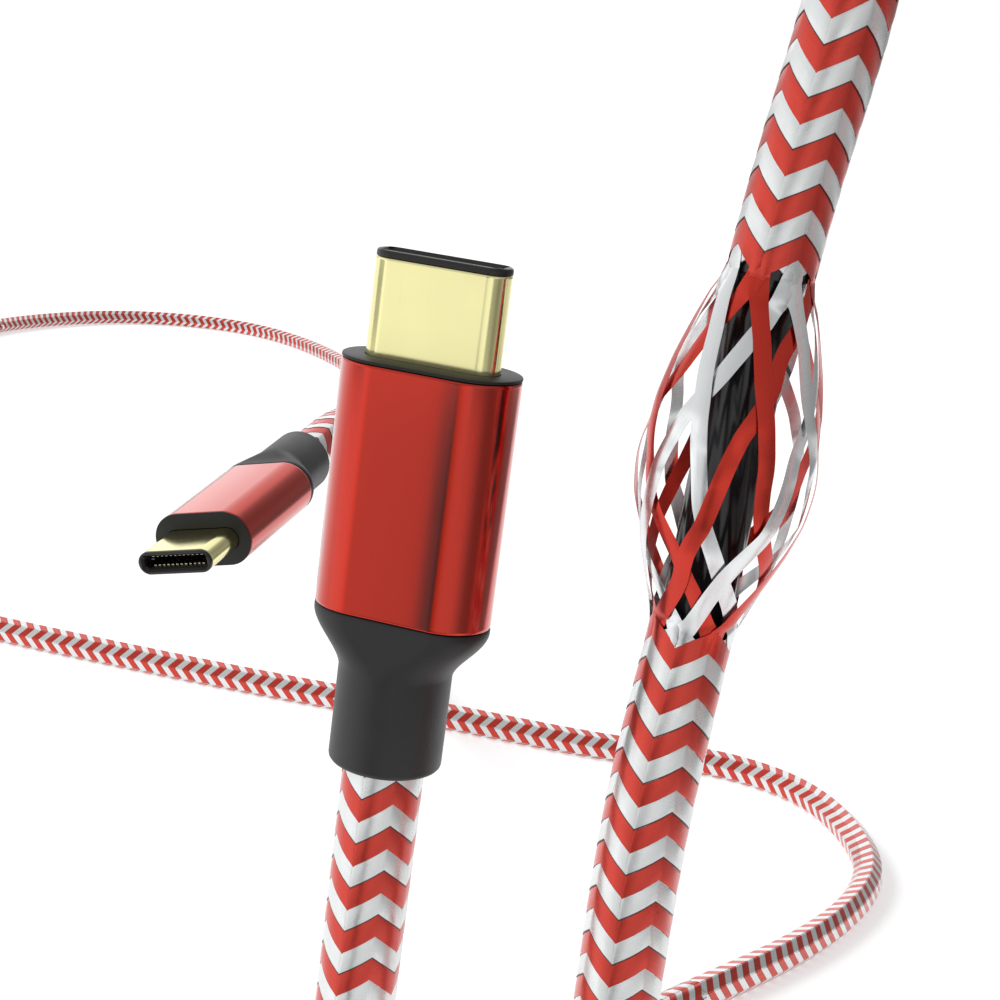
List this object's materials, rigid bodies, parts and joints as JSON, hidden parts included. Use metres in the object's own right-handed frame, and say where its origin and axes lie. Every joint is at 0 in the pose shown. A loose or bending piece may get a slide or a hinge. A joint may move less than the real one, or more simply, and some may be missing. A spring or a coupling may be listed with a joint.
{
  "type": "charging cable",
  "caption": "Braided charging cable with a reversible plug on each end, red metal grips, black strain reliefs and a window in the braid that bares the core.",
  "frame": {"origin": "centre of the near plug's end face, where its shell leaves the overmould and the device that holds it begins", "axes": "+Z out of the near plug's mouth, X across the plug's wide side, Y through its thickness; the floor that the cable lies on is 114.5 mm below the origin"},
  "size_m": [0.4147, 0.6613, 0.169],
  "materials": {
    "anodised_red": "satin anodised",
    "gold_plate": "bright gold plate",
    "black_plastic": "matte moulded",
    "black_rubber": "matte, fine grain",
    "spring_steel": "rolled",
    "board_green": "solder mask",
    "chip_black": "moulded",
    "ring_brass": "plain",
    "braid": "satin flat tape, red and white chevrons",
    "braid_white": "satin flat tape",
    "core_black": "glossy extruded jacket",
    "wire_red": "extruded",
    "wire_black": "extruded",
    "wire_green": "extruded",
    "wire_white": "extruded"
  },
  "bodies": {
    "root": {"near_shell": "gold_plate", "near_mouth_housing": "black_plastic", "near_latch_plate": "spring_steel", "near_circuit_board": "board_green", "near_marker_chip": "chip_black", "near_inner_mould": "black_plastic", "near_grip_sleeve": "anodised_red", "near_strain_relief": "black_rubber", "near_crimp_ring": "ring_brass", "near_cable_end": "braid", "near_contact_row_upper": "gold_plate", "near_contact_row_lower": "gold_plate", "near_contact_holder_upper": "black_plastic", "near_contact_holder_lower": "black_plastic", "near_ground_spring_upper": "spring_steel", "near_ground_spring_lower": "spring_steel", "near_shield_can_upper": "spring_steel", "near_shield_can_lower": "spring_steel", "near_wire_power": "wire_red", "near_wire_ground": "wire_black", "near_wire_data_plus": "wire_green", "near_wire_data_minus": "wire_white", "far_shell": "gold_plate", "far_mouth_housing": "black_plastic", "far_latch_plate": "spring_steel", "far_circuit_board": "board_green", "far_marker_chip": "chip_black", "far_inner_mould": "black_plastic", "far_grip_sleeve": "anodised_red", "far_strain_relief": "black_rubber", "far_crimp_ring": "ring_brass", "far_cable_end": "braid", "far_contact_row_upper": "gold_plate", "far_contact_row_lower": "gold_plate", "far_contact_holder_upper": "black_plastic", "far_contact_holder_lower": "black_plastic", "far_ground_spring_upper": "spring_steel", "far_ground_spring_lower": "spring_steel", "far_shield_can_upper": "spring_steel", "far_shield_can_lower": "spring_steel", "far_wire_power": "wire_red", "far_wire_ground": "wire_black", "far_wire_data_plus": "wire_green", "far_wire_data_minus": "wire_white", "cable_near_drop": "braid", "cable_strand_upper": "braid", "cable_strand_lower": "braid", "cable_right_loop": "braid", "cable_left_arc": "braid", "cable_far_arc": "braid", "window_core": "core_black", "window_tapes_right_hand": "braid", "window_tapes_left_hand": "braid_white"}
  },
  "joints": []
}
